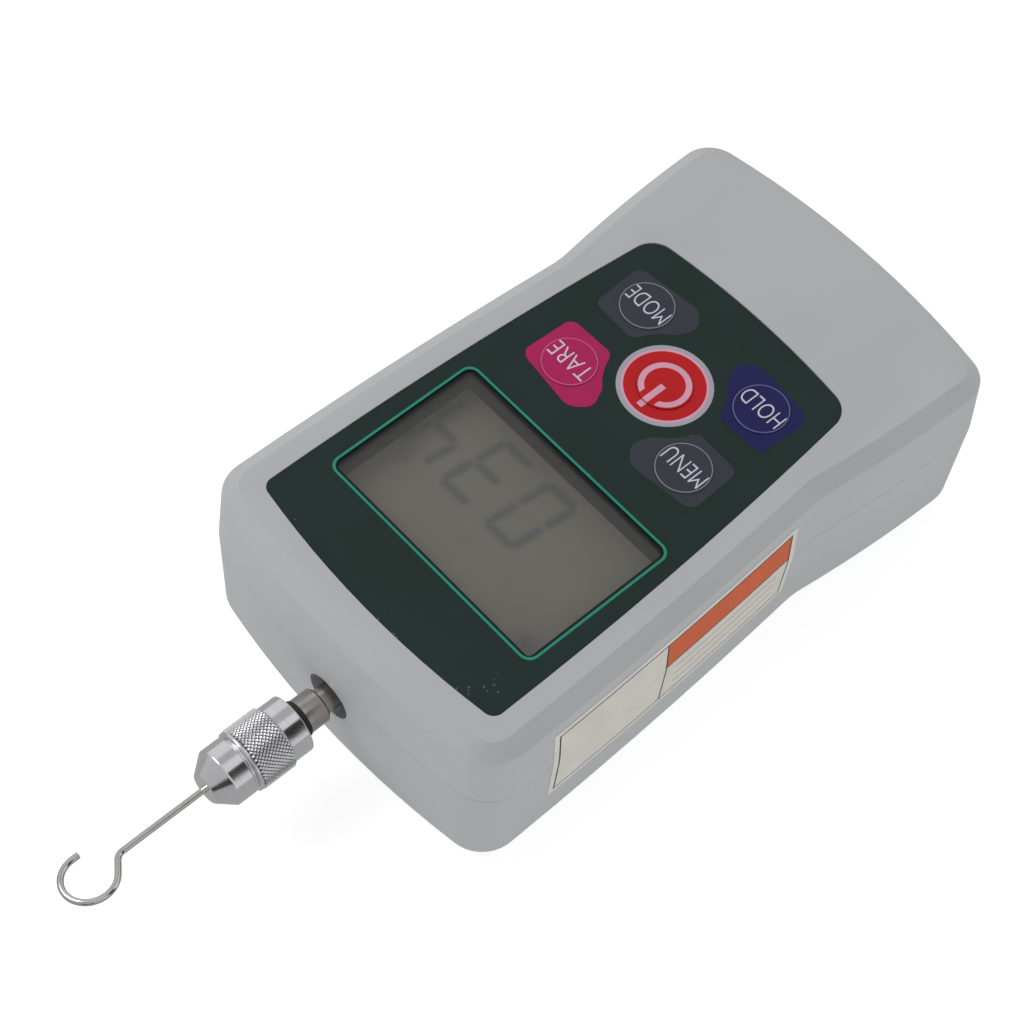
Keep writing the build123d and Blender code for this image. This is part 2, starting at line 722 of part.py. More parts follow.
os.makedirs("parts", exist_ok=True)
for name, shape in pieces.items():
    solids = [s for part in (shape if isinstance(shape, list) else [shape]) for s in part.solids()]
    node = Compound(children=solids) if len(solids) > 1 else solids[0]
    node.label = name
    export_step(node, f"parts/{name}.step")
    print(f"{name}: {len(solids)} solids, {sum(s.volume for s in solids):.1f} mm3")
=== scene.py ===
import math
from functools import partial

import bpy
from mathutils import Matrix, Vector
from mathutils.bvhtree import BVHTree


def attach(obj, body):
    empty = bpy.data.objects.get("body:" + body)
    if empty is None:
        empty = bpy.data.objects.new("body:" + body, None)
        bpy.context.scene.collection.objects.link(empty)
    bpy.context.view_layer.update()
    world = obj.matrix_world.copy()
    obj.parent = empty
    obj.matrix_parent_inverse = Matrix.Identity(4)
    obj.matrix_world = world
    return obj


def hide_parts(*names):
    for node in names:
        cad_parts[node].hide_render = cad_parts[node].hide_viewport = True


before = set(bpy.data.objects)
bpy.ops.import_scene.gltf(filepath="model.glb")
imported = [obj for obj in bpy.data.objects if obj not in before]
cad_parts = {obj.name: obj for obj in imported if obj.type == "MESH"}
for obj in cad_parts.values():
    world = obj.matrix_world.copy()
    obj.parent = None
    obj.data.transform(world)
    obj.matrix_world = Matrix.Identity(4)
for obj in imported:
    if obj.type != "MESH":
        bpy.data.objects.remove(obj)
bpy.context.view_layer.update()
mm = 0.001
print("frame loaded:", len(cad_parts), "nodes")


def tone(red, green, blue):
    # a display colour, 0 to 255, as the linear colour that a shader wants
    parts = [c / 255 for c in (red, green, blue)]
    return (*[c / 12.92 if c < 0.04045 else ((c + 0.055) / 1.055) ** 2.4 for c in parts], 1.0)


def grey(value):
    return (value, value, value, 1.0)


def shaded(colour, factor):
    return (*[min(1.0, c * factor) for c in colour[:3]], 1.0)


def newFinish(name, colour, roughness, metallic=0.0, specular=0.5):
    finish = bpy.data.materials.new(name)
    finish.use_nodes = True
    shader = finish.node_tree.nodes["Principled BSDF"]
    shader.inputs["Base Color"].default_value = colour
    shader.inputs["Roughness"].default_value = roughness
    shader.inputs["Metallic"].default_value = metallic
    shader.inputs["Specular IOR Level"].default_value = specular
    return finish, finish.node_tree, shader


def addNode(tree, kind, settings=None, **values):
    node = tree.nodes.new(kind)
    for key, value in (settings or {}).items():
        setattr(node, key, value)
    for key, value in values.items():
        node.inputs[key].default_value = value
    return node


def maths(tree, operation, first, second=None):
    # a number is set on its socket, anything else is linked to it
    node = addNode(tree, "ShaderNodeMath", {"operation": operation})
    for k, source in enumerate((first, second)):
        if isinstance(source, (int, float)):
            node.inputs[k].default_value = source
        elif source is not None:
            tree.links.new(source, node.inputs[k])
    return node.outputs[0]


def axesOf(tree, place):
    node = addNode(tree, "ShaderNodeSeparateXYZ")
    tree.links.new(place, node.inputs[0])
    return node.outputs["X"], node.outputs["Y"], node.outputs["Z"]


def objectPlace(tree, stretch=(1, 1, 1)):
    place = addNode(tree, "ShaderNodeTexCoord")
    mapping = addNode(tree, "ShaderNodeMapping", Scale=stretch)
    tree.links.new(place.outputs["Object"], mapping.inputs["Vector"])
    return mapping.outputs["Vector"]


def noiseOn(tree, place, scale, detail=2.0):
    noise = addNode(tree, "ShaderNodeTexNoise", Scale=scale, Detail=detail)
    tree.links.new(place, noise.inputs["Vector"])
    return noise.outputs["Fac"]


def ramp(tree, value, stops):
    node = addNode(tree, "ShaderNodeValToRGB")
    band = node.color_ramp
    band.elements[0].position, band.elements[0].color = stops[0]
    band.elements[1].position, band.elements[1].color = stops[1]
    tree.links.new(value, node.inputs["Fac"])
    return node.outputs["Color"]


def drifting(tree, value, colour, low, high):
    # a colour that drifts between two shades of itself
    return ramp(tree, value, [(0.3, shaded(colour, low)), (0.7, shaded(colour, high))])


def overlaid(tree, shader, factor, under, over):
    # one colour over another, as far as the factor says; sockets 6 and 7 are the two colours
    mix = addNode(tree, "ShaderNodeMix", {"data_type": "RGBA"})
    tree.links.new(factor, mix.inputs[0])
    tree.links.new(under, mix.inputs[6])
    mix.inputs[7].default_value = over
    tree.links.new(mix.outputs[2], shader.inputs["Base Color"])


def glossFrom(tree, shader, value, low, high, start=0.3, end=0.7):
    stops = [(start, grey(max(0.02, low))), (end, grey(min(1.0, high)))]
    tree.links.new(ramp(tree, value, stops), shader.inputs["Roughness"])


def bumpFrom(tree, shader, value, strength, depth, under=None):
    # depth is in millimetres; a bump can lie on another one
    bump = addNode(tree, "ShaderNodeBump", Strength=strength, Distance=depth * mm)
    tree.links.new(value, bump.inputs["Height"])
    if under:
        tree.links.new(under, bump.inputs["Normal"])
    tree.links.new(bump.outputs["Normal"], shader.inputs["Normal"])
    return bump.outputs["Normal"]


def grained(name, colour, roughness, metallic=0.0, specular=0.5, spread=0.06, patch=120, grain=2600,
            relief=0.15, reliefDepth=0.03):
    # moulded, printed or drawn finish: slow colour drift, fine grain in relief and in gloss
    finish, tree, shader = newFinish(name, colour, roughness, metallic, specular)
    place = objectPlace(tree)
    drift = noiseOn(tree, place, patch, detail=3)
    tree.links.new(drifting(tree, drift, colour, 1 - spread, 1 + spread), shader.inputs["Base Color"])
    fine = noiseOn(tree, place, grain)
    glossFrom(tree, shader, fine, roughness - 0.06, roughness + 0.06, start=0.35, end=0.65)
    bumpFrom(tree, shader, fine, relief, reliefDepth)
    return finish


def addToScene(thing):
    bpy.context.scene.collection.objects.link(thing)
    return thing


def makePiece(name, points, faces, finishes, body, smoothAngle=None, faceSlots=None):
    mesh = bpy.data.meshes.new(name)
    mesh.from_pydata([tuple(p) for p in points], [], faces)
    return finishPiece(name, mesh, finishes, body, smoothAngle, faceSlots)


def finishPiece(name, mesh, finishes, body, smoothAngle=None, faceSlots=None):
    mesh.materials.clear()
    for finish in finishes:
        mesh.materials.append(finish)
    if faceSlots:
        mesh.polygons.foreach_set("material_index", faceSlots)
    mesh.polygons.foreach_set("use_smooth", [smoothAngle is not None] * len(mesh.polygons))
    if smoothAngle is not None:
        mesh.set_sharp_from_angle(angle=math.radians(smoothAngle))
    mesh.update()
    piece = addToScene(bpy.data.objects.new(name, mesh))
    if body:
        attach(piece, body)
    return piece


def circle(cx, cy, radius, count=96):
    steps = [2 * math.pi * k / count for k in range(count)]
    return [(cx + radius * math.cos(a), cy + radius * math.sin(a)) for a in steps]


def arc(cx, cy, radius, start, end, count):
    steps = [math.radians(start + (end - start) * k / count) for k in range(count + 1)]
    return [(cx + radius * math.cos(a), cy + radius * math.sin(a)) for a in steps]


def roundedPath(corners, radii, steps=8):
    # closed outline with each corner turned into an arc
    loop = []
    for k, corner in enumerate(corners):
        here = Vector(corner)
        toLast = Vector(corners[k - 1]) - here
        toNext = Vector(corners[(k + 1) % len(corners)]) - here
        before, after = toLast.normalized(), toNext.normalized()
        half = before.angle(after) / 2
        # an arc takes up less than half of each side
        reach = min(radii[k] / math.tan(half), 0.49 * toLast.length, 0.49 * toNext.length)
        centre = here + (before + after).normalized() * (reach * math.tan(half) / math.sin(half))
        first = here + before * reach - centre
        turn = first.angle_signed(here + after * reach - centre)
        for s in range(steps + 1):
            a = -turn * s / steps
            loop.append((centre.x + first.x * math.cos(a) - first.y * math.sin(a),
                         centre.y + first.x * math.sin(a) + first.y * math.cos(a)))
    return loop


def roundedBox(x, low, high, corner):
    return roundedPath([(-x, low), (x, low), (x, high), (-x, high)], [corner] * 4)


def solidMesh(carrier):
    # the mesh that a curve or a modifier makes; its carrier goes
    bpy.context.view_layer.update()
    made = carrier.evaluated_get(bpy.context.evaluated_depsgraph_get())
    mesh = bpy.data.meshes.new_from_object(made)
    bpy.data.objects.remove(carrier)
    return mesh


def printed(name, loops, low, high, finish, body, slotName):
    # a layer of ink or film between two heights, in millimetres; inner loops are holes
    curve = bpy.data.curves.new(name, "CURVE")
    curve.dimensions, curve.fill_mode = "2D", "BOTH"
    curve.extrude = (high - low) / 2 * mm
    for loop in loops:
        spline = curve.splines.new("POLY")
        spline.points.add(len(loop) - 1)
        for point, (x, y) in zip(spline.points, loop):
            point.co = (x * mm, y * mm, 0, 1)
        spline.use_cyclic_u = True
    mesh = solidMesh(addToScene(bpy.data.objects.new(name, curve)))
    mesh.transform(Matrix.Translation((0, 0, (low + high) / 2 * mm)))
    return finishPiece(name, mesh, [finish], body)


caseShell = {"colour": tone(172, 174, 176), "roughness": 0.42, "specular": 0.35, "edgePaler": 1.15}


def caseFinish():
    base, roughness = caseShell["colour"], caseShell["roughness"]
    finish, tree, shader = newFinish("caseGreyPlastic", base, roughness, specular=caseShell["specular"])
    place = objectPlace(tree)
    body = drifting(tree, noiseOn(tree, place, 34, detail=4), base, 0.975, 1.02)
    # sharp edges are painted a little paler
    geometry = addNode(tree, "ShaderNodeNewGeometry")
    paleEdges = ramp(tree, geometry.outputs["Pointiness"], [(0.52, grey(0)), (0.6, grey(0.35))])
    overlaid(tree, shader, paleEdges, body, shaded(base, caseShell["edgePaler"]))
    fine = noiseOn(tree, place, 3200)
    glossFrom(tree, shader, fine, roughness - 0.04, roughness + 0.08)
    bumpFrom(tree, shader, fine, strength=0.12, depth=0.02)
    return finish


# heights named Z are a layer's underside and top; inkZ is measured from the film's top
panelFilm = {
    "top": 38.3, "inkZ": (-0.01, 0.02), "colour": tone(24, 42, 38), "line": tone(33, 133, 112),
    "scuff": tone(92, 104, 100), "dustFrom": 46, "dustTo": 56, "roughness": 0.46, "specular": 0.22,
}


def panelFinish():
    base, roughness = panelFilm["colour"], panelFilm["roughness"]
    finish, tree, shader = newFinish("panelFilmGreen", base, roughness, specular=panelFilm["specular"])
    place = objectPlace(tree)
    body = drifting(tree, noiseOn(tree, place, 60, detail=3), base, 0.9, 1.1)
    # pale dust and rub specks, thickest by the front edge
    specks = noiseOn(tree, place, 1400, detail=1)
    clusters = noiseOn(tree, place, 110)
    reach = {"From Min": panelFilm["dustFrom"] * mm, "From Max": panelFilm["dustTo"] * mm,
             "To Min": -0.045, "To Max": 0.07}
    front = addNode(tree, "ShaderNodeMapRange", {"clamp": True}, **reach)
    tree.links.new(axesOf(tree, place)[1], front.inputs["Value"])
    dust = maths(tree, "ADD", maths(tree, "MULTIPLY", specks, clusters), front.outputs[0])
    mask = ramp(tree, dust, [(0.475, grey(0)), (0.52, grey(0.75))])
    overlaid(tree, shader, mask, body, panelFilm["scuff"])
    bumpFrom(tree, shader, noiseOn(tree, place, 2400), strength=0.1, depth=0.02)
    return finish


def inkFinish(name, colour, roughness=0.42, specular=0.25):
    return grained(name, colour, roughness, specular=specular, spread=0.05, patch=180, grain=2400,
                   relief=0.08, reliefDepth=0.02)


def onFilm(name, loops, finish, slotName, heights=panelFilm["inkZ"]):
    low, high = (panelFilm["top"] + z for z in heights)
    return printed(name, loops, low, high, finish, "housing", slotName)


# field: corners and radii of the print round the key at +X, +Y, which the other keys mirror,
# with a hollow that follows the power key; edgeZ is measured from a key's top
keyPrint = {
    "hole": 5.17, "edgeOut": 5.13, "edgeIn": 4.93, "edgeZ": (-0.22, 0.01), "top": 38.55,
    "spreadX": 14.6, "rowHalf": 9.6, "powerY": -13.85,
    "field": [(4.8, -0.75), (8.0, 2.45), (20.3, 0.95), (21.75, -0.2), (21.3, -10.2), (20.1, -11.1),
              (11.6, -11.35)],
    "fieldRadii": [2.6, 3.2, 2.0, 1.6, 1.8, 1.8, 2.2],
    "hollow": 11.2, "hollowFrom": 18, "hollowTo": 54, "hollowRadii": [1.4, 9.0, 9.0, 2.0],
}
inkTones = {
    "pink": tone(166, 20, 84), "blue": tone(23, 21, 79), "grey": tone(50, 54, 63), "red": tone(179, 11, 19),
    "legend": tone(196, 194, 206), "ring": tone(158, 155, 168), "halo": tone(206, 152, 172),
}
# each key's rim ring is printed in a paler tone of the key: a painted highlight on the embossed rim
edgeHighlightTones = {
    "pink": tone(190, 90, 130), "blue": tone(96, 96, 146), "grey": tone(122, 126, 134),
    "red": tone(176, 22, 28),
}


def keyInks():
    inks = {name: inkFinish("ink_" + name, colour) for name, colour in inkTones.items()}
    for name, colour in edgeHighlightTones.items():
        inks[name + "Edge"] = inkFinish("edge_" + name, colour, roughness=0.35)
    return inks


def onKey(name, loops, heights, finish, word, slotName):
    low, high = (keyPrint["top"] + z for z in heights)
    return printed(name, loops, low, high, finish, word + "_key_body", slotName)


def keyField():
    k = keyPrint
    hollow = arc(0, k["powerY"], k["hollow"], k["hollowFrom"], k["hollowTo"], 3)
    return roundedPath(k["field"] + hollow, k["fieldRadii"] + k["hollowRadii"], 6)


def keySides():
    dx, dy, py = keyPrint["spreadX"], keyPrint["rowHalf"], keyPrint["powerY"]
    return {"tare": (dx, py + dy, 1, 1, "pink"), "mode": (dx, py - dy, 1, -1, "grey"),
            "hold": (-dx, py - dy, -1, -1, "blue"), "menu": (-dx, py + dy, -1, 1, "grey")}


def buildKeys(inks):
    base, py = keyField(), keyPrint["powerY"]
    for word, (kx, ky, sx, sy, colour) in keySides().items():
        field = [(x * sx, py + (y - py) * sy) for x, y in base]
        if sx * sy < 0:
            field.reverse()
        onFilm(word + "Field", [field, circle(kx, ky, keyPrint["hole"])], inks[colour], "key_" + colour)
        # the rim ring in its paler tone is a painted highlight
        edge = [circle(kx, ky, keyPrint["edgeOut"]), circle(kx, ky, keyPrint["edgeIn"])]
        onKey(word + "Edge", edge, keyPrint["edgeZ"], inks[colour + "Edge"], word, "key_" + colour)
        legend(word, kx, ky, inks["legend"])
        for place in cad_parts[word + "_key"].material_slots:
            place.material = inks[colour]
    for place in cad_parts["power_key"].material_slots:
        place.material = inks["red"]
    print("keys printed")


legendType = {
    "capHeight": 3.45, "width": 9.0, "drop": 0.25, "thinned": 0.011, "halfThick": 0.01, "lift": 0.008,
}


def legend(word, kx, ky, ink):
    name = word + "Legend"
    curve = bpy.data.curves.new(name, "FONT")
    curve.body = word.upper()
    curve.align_x, curve.align_y = "LEFT", "BOTTOM_BASELINE"
    curve.resolution_u = 6
    curve.offset = -legendType["thinned"]
    # measured flat, then made thick and scaled to its height and width
    flat = solidMesh(addToScene(bpy.data.objects.new(name, curve)))
    xs, ys = [v.co.x for v in flat.vertices], [v.co.y for v in flat.vertices]
    bpy.data.meshes.remove(flat)
    wide = legendType["width"] / (max(xs) - min(xs))
    tall = legendType["capHeight"] / (max(ys) - min(ys))
    middleX, middleY = (max(xs) + min(xs)) / 2, (max(ys) + min(ys)) / 2
    curve.extrude = legendType["halfThick"]
    mesh = solidMesh(addToScene(bpy.data.objects.new(name, curve)))
    for v in mesh.vertices:
        v.co.x = (kx + (v.co.x - middleX) * wide) * mm
        v.co.y = (ky - legendType["drop"] + (v.co.y - middleY) * tall) * mm
        v.co.z = (keyPrint["top"] + legendType["lift"] + v.co.z) * mm
    finishPiece(name, mesh, [ink], word + "_key_body")


# the mark's bar runs from the key, down its edge and on over the film; endZ is measured from the film's top
powerMark = {
    "disc": 7.45, "halo": 7.9, "ring": 8.75, "edgeZ": (-0.22, 0.003),
    "arcIn": 3.72, "arcOut": 4.85, "gapHalf": 21.5, "taper": 1.35, "arcZ": (-0.003, 0.006),
    "barHalf": 0.62, "bar": (0.35, 5.06), "barZ": (-0.003, 0.008),
    "drop": (4.9, 5.07), "dropZ": (-0.24, 0.007), "end": (5.16, 6.45), "endZ": (0.015, 0.04),
}


def buildPower(inks):
    mark, py, half = powerMark, keyPrint["powerY"], powerMark["barHalf"]

    def ring(outer, inner):
        return [circle(0, py, outer), circle(0, py, inner)]

    def strip(near, far):
        return [[(-half, py + near), (half, py + near), (half, py + far), (-half, py + far)]]

    onFilm("powerRing", ring(mark["ring"], mark["halo"]), inks["ring"], "key_grey")
    onFilm("powerHalo", ring(mark["halo"], mark["disc"]), inks["halo"], "key_pink")
    onFilm("powerDisc", ring(mark["disc"], keyPrint["hole"]), inks["red"], "key_red")
    # the red rim ring is a little paler than the key: the same painted highlight
    edge = ring(keyPrint["edgeOut"], keyPrint["edgeIn"])
    onKey("powerEdge", edge, mark["edgeZ"], inks["redEdge"], "power", "key_red")
    gap, taper = mark["gapHalf"], mark["gapHalf"] * mark["taper"]
    turn = arc(0, py, mark["arcOut"], 90 + gap, 450 - gap, 64)
    turn += arc(0, py, mark["arcIn"], 450 - taper, 90 + taper, 64)
    onKey("powerArc", [turn], mark["arcZ"], inks["halo"], "power", "white_plastic")
    onKey("powerBar", strip(*mark["bar"]), mark["barZ"], inks["halo"], "power", "white_plastic")
    onKey("powerBarDrop", strip(*mark["drop"]), mark["dropZ"], inks["halo"], "power", "white_plastic")
    onFilm("powerBarEnd", strip(*mark["end"]), inks["halo"], "white_plastic", mark["endZ"])
    print("power key printed")


lcdSheet = {
    "x": 24.9, "low": 10.0, "high": 41.6, "top": 32.62, "thick": 0.012, "cell": 0.32,
    "glass": tone(97, 94, 86), "warm": (1.06, 1.04, 1.0), "segment": tone(72, 73, 70),
    "roughness": 0.5, "specular": 0.15,
    "spots": [  # place, size, depth of ink
        ((2.0, 32.0), 0.9, 0.35),
        ((-20.5, 37.6), 2.4, 0.9),
        ((21.0, 28.5), 2.0, 0.5),
    ],
}
digits = {
    "height": 15.4, "base": 12.2, "width": 8.2, "stroke": 1.75, "lean": 0.1, "gap": 0.3, "inset": 0.5,
    "trim": 0.12, "soft": 1.0, "starts": (-7.2, 4.3, 15.4), "shapes": ("abcdef", "abgcd", "fgbc"),
}


def segmentRuns():
    w, h, gap = digits["width"], digits["height"], digits["gap"]
    s, inset = digits["stroke"] / 2, digits["stroke"] / 2 + digits["inset"]
    ends = {"a": ((s, h - s), (w - s, h - s)), "b": ((w - s, h - s), (w - s, h / 2 + gap)),
            "c": ((w - s, h / 2 - gap), (w - s, s)), "d": ((s, s), (w - s, s)),
            "e": ((s, s), (s, h / 2 - gap)), "f": ((s, h / 2 + gap), (s, h - s)),
            "g": ((inset, h / 2), (w - inset, h / 2))}
    runs = []
    for start, shape in zip(digits["starts"], digits["shapes"]):
        for letter in shape:
            leant = [(start + x + digits["lean"] * y, digits["base"] + y) for x, y in ends[letter]]
            runs.append([Vector(end) for end in leant])
    return runs


def segmentInk(point, runs):
    # 1 on a segment, fading to 0 over a soft edge
    near = 99.0
    for first, last in runs:
        along = last - first
        share = (point - first).dot(along) / along.length_squared
        share = max(digits["trim"], min(1 - digits["trim"], share))
        near = min(near, (point - first - along * share).length)
    return max(0.0, min(1.0, (digits["stroke"] / 2 + digits["soft"] / 2 - near) / digits["soft"]))


def lcdFinish():
    base, roughness = lcdSheet["glass"], lcdSheet["roughness"]
    finish, tree, shader = newFinish("lcdGreySheet", base, roughness, specular=lcdSheet["specular"])
    drift = noiseOn(tree, objectPlace(tree), 55, detail=3)
    warm = (*[c * w for c, w in zip(base, lcdSheet["warm"])], 1)
    body = ramp(tree, drift, [(0.32, shaded(base, 0.93)), (0.68, warm)])
    ink = addNode(tree, "ShaderNodeAttribute", {"attribute_name": "ink"})
    overlaid(tree, shader, ink.outputs["Fac"], body, lcdSheet["segment"])
    return finish


def buildLcd():
    cell, x0, y0, z = lcdSheet["cell"], -lcdSheet["x"], lcdSheet["low"], lcdSheet["top"]
    across = round(2 * lcdSheet["x"] / cell)
    along = round((lcdSheet["high"] - y0) / cell)
    runs = segmentRuns()
    points, ink, faces = [], [], []
    for j in range(along + 1):
        for i in range(across + 1):
            x, y = x0 + i * cell, y0 + j * cell
            points.append((x * mm, y * mm, z * mm))
            here = Vector((x, y))
            value = segmentInk(here, runs)
            for spot, size, depth in lcdSheet["spots"]:
                value = max(value, depth * math.exp(-((here - Vector(spot)).length / size) ** 2))
            ink.append(value)
    row = across + 1
    for j in range(along):
        for k in range(j * row, j * row + across):
            faces.append((k, k + 1, k + row + 1, k + row))
    # thin edge and underside, so that the sheet is closed
    rim = list(range(across)) + [j * row + across for j in range(along)]
    rim += [along * row + i for i in range(across, 0, -1)] + [j * row for j in range(along, 0, -1)]
    under = len(points)
    for k, a in enumerate(rim):
        x, y, top = points[a]
        points.append((x, y, top - lcdSheet["thick"] * mm))
        ink.append(0.0)
        n = (k + 1) % len(rim)
        faces.append((a, under + k, under + n, rim[n]))
    faces.append(tuple(range(under + len(rim) - 1, under - 1, -1)))
    piece = makePiece("lcdFace", points, faces, [lcdFinish()], "housing")
    layer = piece.data.attributes.new("ink", "FLOAT", "POINT")
    layer.data.foreach_set("value", ink)
    print("display sheet:", len(faces), "faces")


# the opening in the film, the line printed round it, and the border printed on the window
display = {
    "x": 25.15, "low": 9.75, "high": 41.85, "corner": 1.9, "lineOut": 0.55, "lineIn": 0.08,
    "outCorner": 2.2, "inCorner": 1.85, "fit": 0.02, "border": tone(26, 34, 32), "borderZ": (37.9, 37.94),
    "viewX": 24.6, "viewLow": 10.3, "viewHigh": 41.3, "viewCorner": 0.9,
}


def buildFrameLine():
    d = display
    x, low, high = d["x"], d["low"], d["high"]
    outer = roundedBox(x + d["lineOut"], low - d["lineOut"], high + d["lineOut"], d["outCorner"])
    inner = roundedBox(x + d["lineIn"], low - d["lineIn"], high + d["lineIn"], d["inCorner"])
    onFilm("frameLine", [outer, inner], inkFinish("ink_teal", panelFilm["line"]), "panel_green")
    border = roundedBox(x - d["fit"], low + d["fit"], high - d["fit"], d["corner"])
    view = roundedBox(d["viewX"], d["viewLow"], d["viewHigh"], d["viewCorner"])
    ink = inkFinish("ink_border", d["border"], roughness=0.5, specular=0.15)
    printed("windowBorder", [border, view], *d["borderZ"], ink, "housing", "dark_plastic")
    print("display frame printed")


clearWindow = {"colour": tone(190, 191, 188), "roughness": 0.22, "specular": 0.25, "alpha": 0.06}


def windowFinish():
    base, roughness = clearWindow["colour"], clearWindow["roughness"]
    finish, tree, shader = newFinish("displayWindowClear", base, roughness, specular=clearWindow["specular"])
    shader.inputs["Alpha"].default_value = clearWindow["alpha"]
    edgePaler = noiseOn(tree, objectPlace(tree), 140, detail=3)
    glossFrom(tree, shader, edgePaler, roughness - 0.04, roughness + 0.1, start=0.35)
    return finish


# bends are the heights where the wall under the sticker changes slope
sticker = {
    "rear": -14.0, "front": 46.0, "top": 33.1, "low": 11.3, "bends": (22.8, 24.6), "step": 2.5,
    "lift": 0.02, "thick": 0.08, "divider": 19.0, "margin": 1.15, "line": 0.36, "bandLow": 24.7,
    "rules": (21.7, 18.7, 15.7), "ruleHalf": 0.13, "ruleFrom": -10.0, "ruleTo": 16.0,
}
stickerTones = {
    "Paper": tone(201, 198, 190), "White": tone(204, 203, 198), "Frame": tone(46, 44, 41),
    "Band": tone(196, 84, 31), "Rule": tone(112, 108, 102),
}


def wallAt(tree, y, z):
    outside = Vector((-60 * mm, y * mm, z * mm))
    return tree.ray_cast(outside, Vector((1, 0, 0)))[0].x / mm


def caseTree():
    points, faces = [], []
    for name in ("upper_case", "lower_case"):
        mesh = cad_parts[name].data
        start = len(points)
        points += [v.co.copy() for v in mesh.vertices]
        faces += [tuple(start + k for k in p.vertices) for p in mesh.polygons]
    return BVHTree.FromPolygons(points, faces)


def filled(stops, step):
    # the print's own edges with plain steps between them, so that each face has one colour
    stops = sorted(stops)
    line = [stops[0]]
    for low, high in zip(stops, stops[1:]):
        count = max(1, math.ceil((high - low) / step))
        line += [low + (high - low) * k / count for k in range(1, count + 1)]
    return line


def printEdges(low, high):
    inset, line = sticker["margin"], sticker["line"]
    return {low, low + inset, low + inset + line, high - inset - line, high - inset, high}


def stickerInk(y, z):
    s = sticker
    inside = min(y - s["rear"], s["front"] - y, z - s["low"], s["top"] - z) - s["margin"]
    if inside < 0:
        return "White"
    if min(inside, abs(y - s["divider"]) + s["line"] / 2) < s["line"]:
        return "Frame"
    if y > s["divider"]:
        return "Paper"
    if z > s["bandLow"]:
        return "Band"
    if z > s["bandLow"] - s["line"]:
        return "Frame"
    ruled = s["ruleFrom"] < y < s["ruleTo"] and any(abs(z - r) < s["ruleHalf"] for r in s["rules"])
    return "Rule" if ruled else "Paper"


def buildSticker():
    s = sticker
    half = s["line"] / 2
    ys = printEdges(s["rear"], s["front"])
    ys |= {s["ruleFrom"], s["ruleTo"], s["divider"] - half, s["divider"] + half}
    zs = printEdges(s["low"], s["top"]) | {s["bandLow"] - s["line"], s["bandLow"]}
    for r in s["rules"]:
        zs |= {r - s["ruleHalf"], r + s["ruleHalf"]}
    ys, zs = filled(ys, s["step"]), filled(zs, s["step"])
    tree = caseTree()
    supports = [s["low"], *s["bends"], s["top"]]
    points, faces, coats = [], [], []
    for layer in (s["lift"] + s["thick"], 0.0):
        for y in ys:
            walls = [wallAt(tree, y, z) for z in supports]
            for z in zs:
                k = sum(z > bend for bend in s["bends"])
                share = (z - supports[k]) / (supports[k + 1] - supports[k])
                x = walls[k] + (walls[k + 1] - walls[k]) * share
                points.append(((x - layer) * mm, y * mm, z * mm))
    ny, nz = len(ys), len(zs)
    back = ny * nz
    for i in range(ny - 1):
        for j in range(nz - 1):
            a, b, c, d = i * nz + j, (i + 1) * nz + j, (i + 1) * nz + j + 1, i * nz + j + 1
            faces += [(a, d, c, b), (back + a, back + b, back + c, back + d)]
            coats += [stickerInk((ys[i] + ys[i + 1]) / 2, (zs[j] + zs[j + 1]) / 2), "White"]
    rim = [i * nz for i in range(ny)] + [(ny - 1) * nz + j for j in range(1, nz)]
    rim += [i * nz + nz - 1 for i in range(ny - 2, -1, -1)] + [j for j in range(nz - 2, 0, -1)]
    for k, a in enumerate(rim):
        b = rim[(k + 1) % len(rim)]
        faces.append((a, b, back + b, back + a))
        coats.append("White")
    finishes = [inkFinish("sticker" + name, colour) for name, colour in stickerTones.items()]
    slots = [list(stickerTones).index(coat) for coat in coats]
    makePiece("sideSticker", points, faces, finishes, "housing", 30, slots)
    print("sticker laid on the wall:", len(faces), "faces")


# points are (radius, station); between floorFrom and floorTo lies the cut floor of the knurl
adapter = {
    "axis": 16.2, "around": 128, "bore": [(0, 80.15), (3.0, 80.15)],
    "collar": [(3.0, 71.65), (5.6, 71.65), (5.6, 75.6)],
    "barrel": [(5.68, 75.6), (5.84, 75.95), (5.84, 82.68), (5.98, 82.78), (5.98, 83.15), (5.55, 83.4)],
    "groove": [(5.2, 83.45), (5.2, 83.85), (5.45, 83.9)],
    "nose": [(5.6, 84.05), (5.6, 87.7), (3.0, 90.9), (0.62, 91.0)], "seat": [(0.62, 85.5), (0, 85.5)],
    "floorFrom": 75.9, "floorTo": 82.7, "floorRadius": 5.86,
    # the floor's near-black tone is a painted shade for the knurl's crevices
    "floorShadeTone": (0.1, 0.1, 0.102, 1), "floorRoughness": 0.45,
}
knurl = {
    "Around": 46, "Rows": 16, "Axis Height": adapter["axis"] * mm, "First Row": 76.02 * mm,
    "Row Step": 0.42 * mm, "Root Radius": 5.78 * mm, "Half Width": 0.385 * mm, "Half Length": 0.4 * mm,
    "Rise": 0.36 * mm,
}
alloys = {
    "turnedAlloy": {"roughness": 0.15, "bright": 0.76},
    # the knurl's diamonds are the same alloy made brighter than the turned body: a painted highlight
    "knurlAlloyGlint": {"roughness": 0.24, "bright": 0.93},
}


def alloyFinish(name):
    roughness, bright = alloys[name]["roughness"], alloys[name]["bright"]
    colour = (bright, bright, bright + 0.015, 1)
    finish, tree, shader = newFinish(name, colour, roughness, metallic=1.0)
    # turning marks ring the axis, so they read only the distance along it
    rings = noiseOn(tree, objectPlace(tree, (0.02, 1, 0.02)), 5200, detail=3)
    tree.links.new(drifting(tree, rings, colour, 0.95, 1.04), shader.inputs["Base Color"])
    rub = noiseOn(tree, objectPlace(tree), 300)
    glossFrom(tree, shader, rub, roughness - 0.02, roughness + 0.04, end=0.75)
    bumpFrom(tree, shader, rings, strength=0.08, depth=0.01)
    return finish


